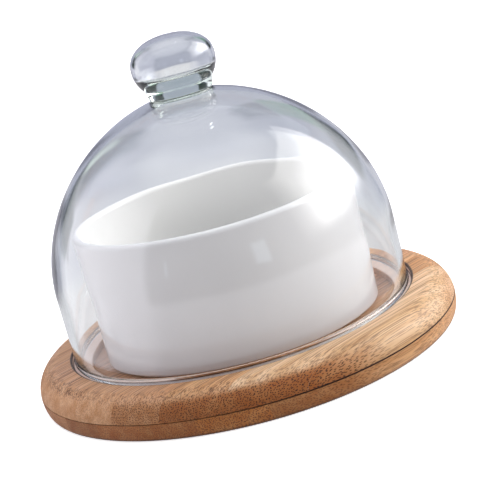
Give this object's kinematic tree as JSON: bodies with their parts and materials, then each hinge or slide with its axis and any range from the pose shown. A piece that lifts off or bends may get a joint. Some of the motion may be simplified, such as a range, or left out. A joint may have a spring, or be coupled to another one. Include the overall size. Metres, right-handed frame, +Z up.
{
  "type": "butter dish",
  "caption": "Round laminated bamboo board with a stepped recess that seats a white straight-sided bowl and a clear glass dome with a glass knob, for keeping butter covered.",
  "frame": {"origin": "middle of the board's underside, on the axis of the board, bowl and dome", "axes": "+Z up along the common axis, +X to the right as the dish is seen in the picture, +Y away from the viewer"},
  "size_m": [0.17, 0.17, 0.1305],
  "materials": {
    "bamboo": "satin",
    "porcelain": "gloss",
    "glass": "gloss"
  },
  "bodies": {
    "board": {"upper_strip_1": "bamboo", "upper_strip_2": "bamboo", "upper_strip_3": "bamboo", "upper_strip_4": "bamboo", "upper_strip_5": "bamboo", "upper_strip_6": "bamboo", "upper_strip_7": "bamboo", "upper_strip_8": "bamboo", "upper_strip_9": "bamboo", "lower_strip_1": "bamboo", "lower_strip_2": "bamboo", "lower_strip_3": "bamboo", "lower_strip_4": "bamboo", "lower_strip_5": "bamboo", "lower_strip_6": "bamboo", "lower_strip_7": "bamboo", "lower_strip_8": "bamboo", "lower_strip_9": "bamboo"},
    "bowl": {"ceramic_bowl": "porcelain"},
    "dome": {"glass_dome": "glass", "knob_neck": "glass", "glass_knob": "glass"}
  },
  "joints": [
    {"name": "bowl_lift", "type": "slide", "parent": "board", "child": "bowl", "axis": [0, 0, 1], "range_m": [0, 0.06]},
    {"name": "dome_lift", "type": "slide", "parent": "bowl", "child": "dome", "axis": [0, 0, 1], "range_m": [0, 0.09]}
  ]
}
